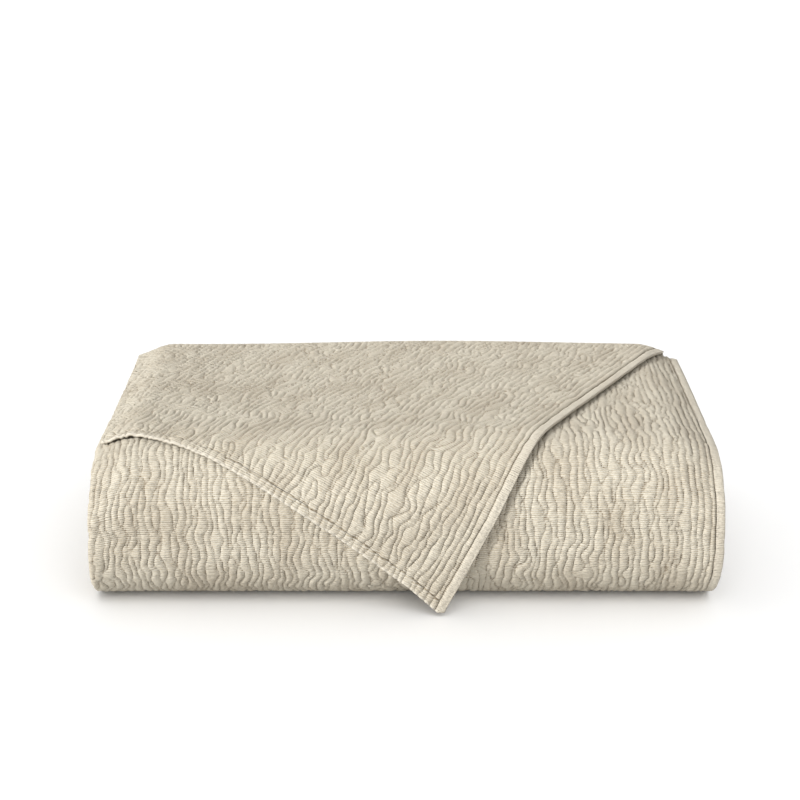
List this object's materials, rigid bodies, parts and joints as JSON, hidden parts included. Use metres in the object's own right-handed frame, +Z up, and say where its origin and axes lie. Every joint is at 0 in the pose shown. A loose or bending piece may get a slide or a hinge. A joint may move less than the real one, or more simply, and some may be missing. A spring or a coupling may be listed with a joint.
{
  "type": "folded coverlet",
  "caption": "Folded puckered-weave coverlet with a full-height round front fold and a hemmed corner hanging diagonally over the front.",
  "frame": {"origin": "centre of the bounding box in X and Y, on the surface that the bundle rests on", "axes": "+X along the folded width, towards the end with the stacked hems; -Y towards the round front fold and the hanging corner; +Z up"},
  "size_m": [0.6102, 0.3672, 0.1708],
  "materials": {
    "cotton_cloth": "matte puckered weave"
  },
  "bodies": {
    "root": {"coverlet": "cotton_cloth"}
  },
  "joints": []
}
